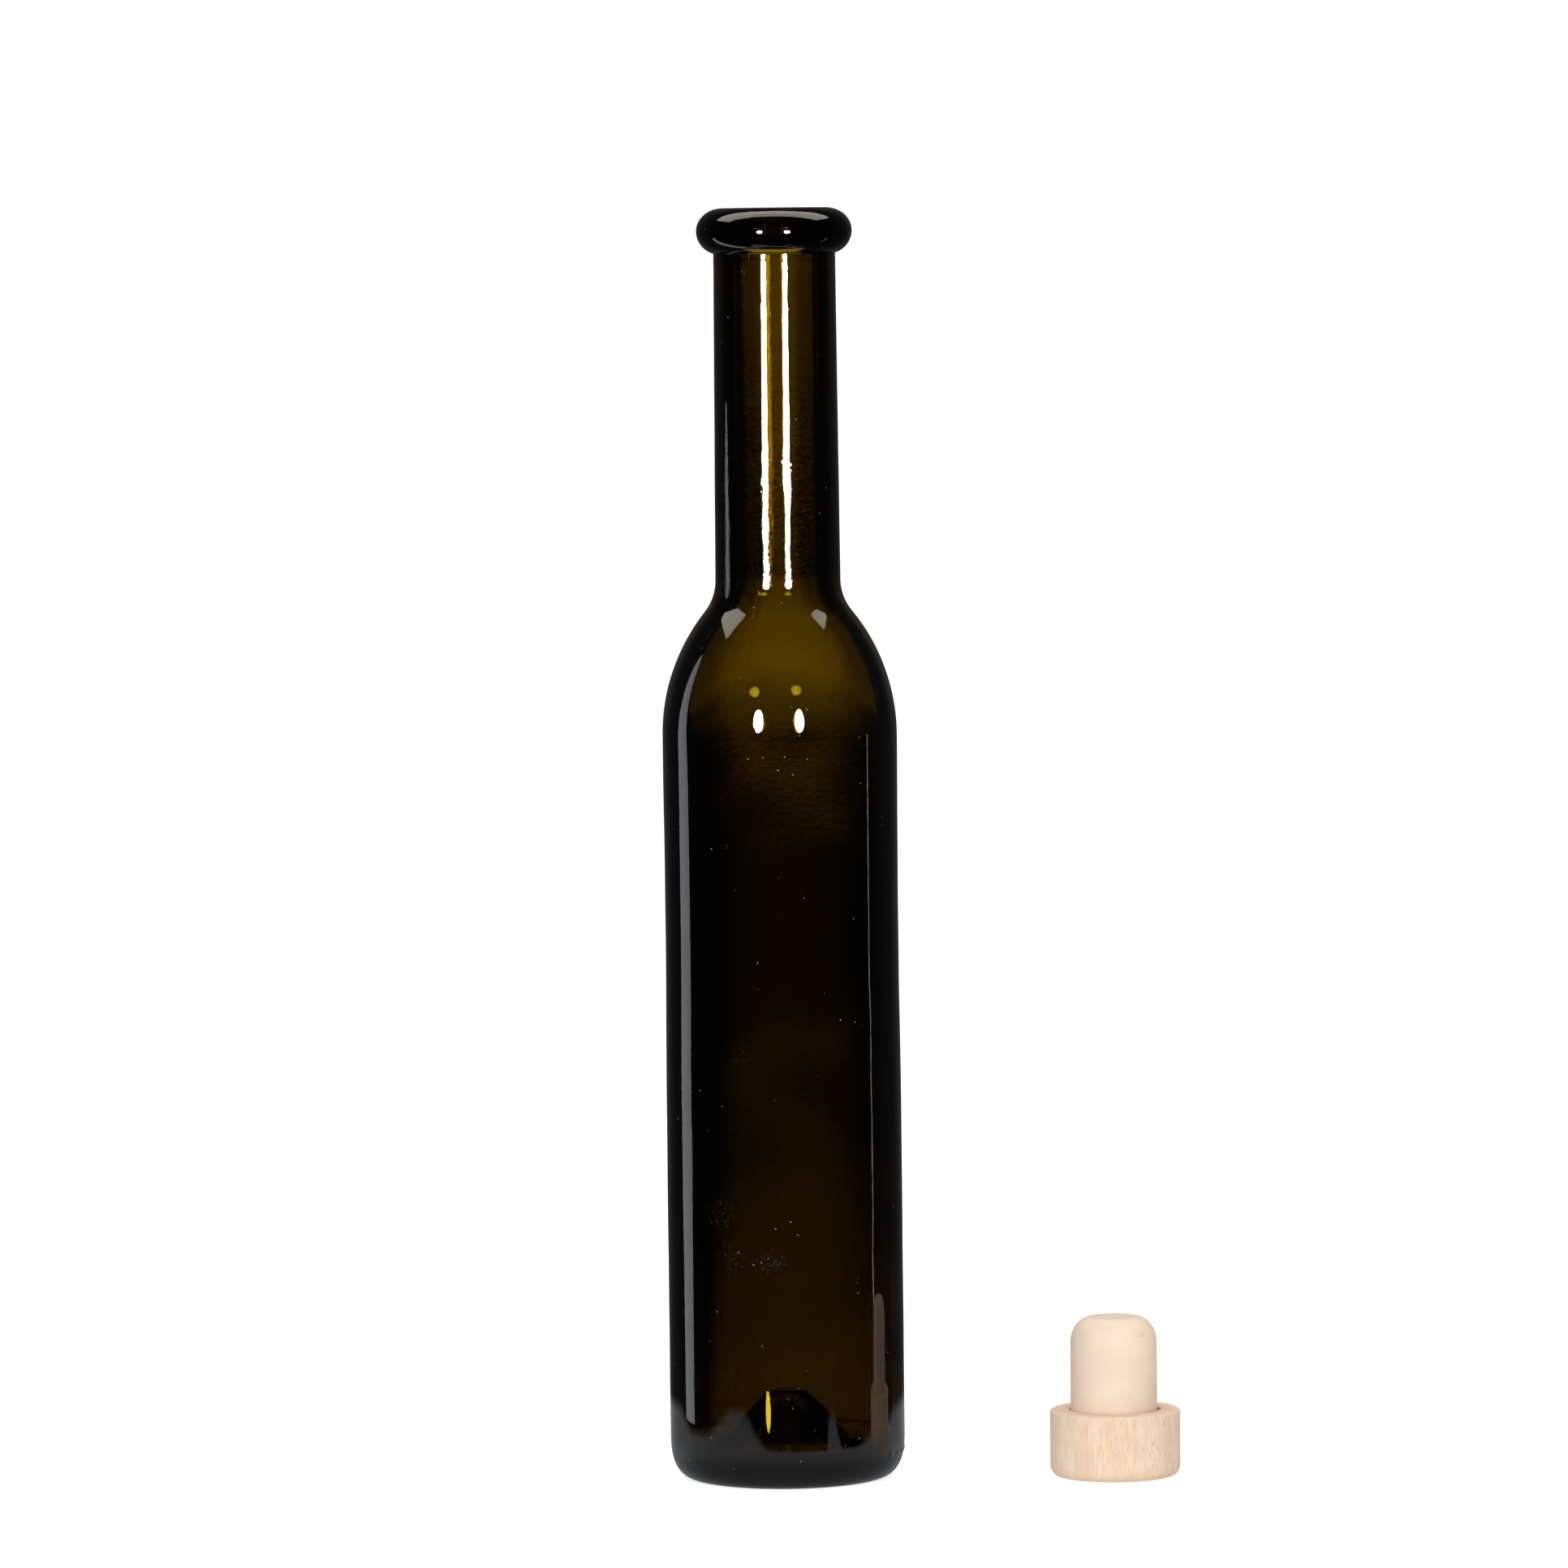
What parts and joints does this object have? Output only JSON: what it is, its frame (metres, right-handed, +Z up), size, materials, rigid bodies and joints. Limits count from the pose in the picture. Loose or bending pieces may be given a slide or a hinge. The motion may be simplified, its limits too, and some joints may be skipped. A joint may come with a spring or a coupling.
{
  "type": "glass bottle with stopper",
  "caption": "Slender long-necked bottle of dark green glass with a rolled lip and pushed-up base, its wooden-headed stopper standing beside it.",
  "frame": {"origin": "on the standing surface, in the middle of the box round bottle and stopper", "axes": "+Z up along the bottle's axis, +X from the bottle towards the stopper, -Y towards the picture's viewer"},
  "size_m": [0.112, 0.0516, 0.2785],
  "materials": {
    "dark_green_glass": "smooth glossy antique green bottle glass, nearly black in thick places and olive brown where light comes through",
    "turned_beech": "pale turned beech, fine vertical grain with short brown pores, waxed matt",
    "plug_beige": "smooth matt moulded plug in pale beige"
  },
  "bodies": {
    "root": {"bottle": "dark_green_glass", "stopper_head": "turned_beech", "stopper_plug": "plug_beige"}
  },
  "joints": []
}
